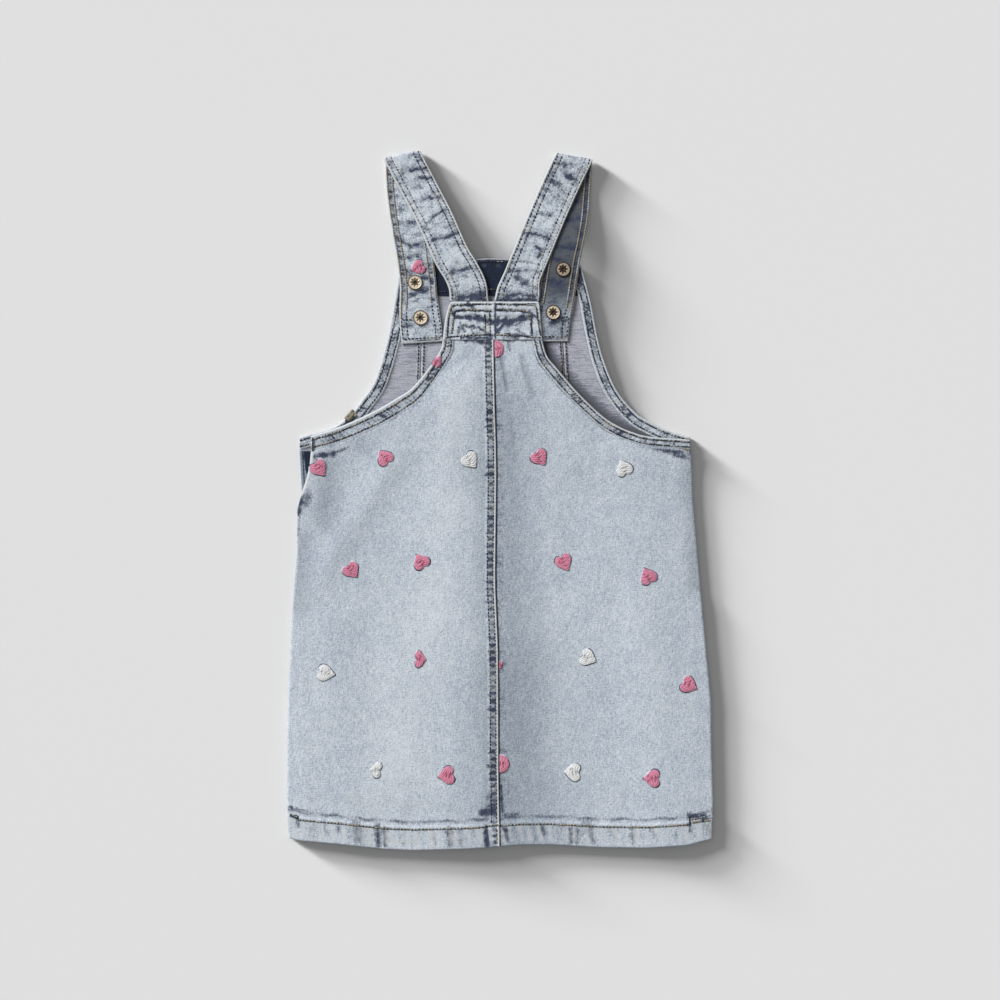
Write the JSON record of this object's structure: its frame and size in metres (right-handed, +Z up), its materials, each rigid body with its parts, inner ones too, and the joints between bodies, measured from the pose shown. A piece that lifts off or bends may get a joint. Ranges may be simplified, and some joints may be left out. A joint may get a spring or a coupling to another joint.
{
  "type": "pinafore dress",
  "caption": "Child's light acid-wash denim pinafore dress laid flat with its back up, straps folded inside the bib, embroidered hearts",
  "frame": {"origin": "centre of the bounding box at the surface that the dress lies on", "axes": "+Y from the hem towards the shoulder folds, +Z up from the surface through the front to the back, +X to the right as the back is seen"},
  "size_m": [0.319, 0.5244, 0.0098],
  "materials": {
    "denim": "acid-washed cotton twill with a little stretch, right side, matte",
    "denim_wrong_side": "pale wrong side of the washed twill, matte",
    "denim_dark": "indigo side of the cloth that the wash did not reach, matte",
    "thread_pink": "embroidery thread, soft sheen",
    "thread_white": "off-white embroidery thread, soft sheen",
    "copper": "aged copper-coloured metal, brushed"
  },
  "bodies": {
    "root": {"back_left": "denim", "back_right": "denim", "back_binding_left": "denim", "back_binding_right": "denim", "back_yoke": "denim", "front_centre": "denim_wrong_side", "front_side_left": "denim_wrong_side", "front_side_right": "denim_wrong_side", "front_binding_left": "denim", "front_binding_right": "denim", "bib_facing": "denim_dark", "side_placket": "denim_dark", "strap_left": "denim", "strap_right": "denim", "button_left_upper": "copper", "button_left_lower": "copper", "button_right_upper": "copper", "button_right_lower": "copper", "tack_back_left_upper": "copper", "tack_back_left_lower": "copper", "tack_back_right_upper": "copper", "tack_back_right_lower": "copper", "heart_01": "thread_pink", "heart_02": "thread_pink", "heart_03": "thread_white", "heart_04": "thread_pink", "heart_05": "thread_white", "heart_06": "thread_pink", "heart_07": "thread_pink", "heart_08": "thread_pink", "heart_09": "thread_pink", "heart_10": "thread_pink", "heart_11": "thread_pink", "heart_12": "thread_white", "heart_13": "thread_pink", "heart_14": "thread_white", "heart_15": "thread_pink", "heart_16": "thread_white", "heart_17": "thread_pink", "heart_18": "thread_white", "heart_19": "thread_pink", "heart_lapped_1": "thread_pink", "heart_lapped_2": "thread_pink", "heart_lapped_3": "thread_pink"}
  },
  "joints": []
}
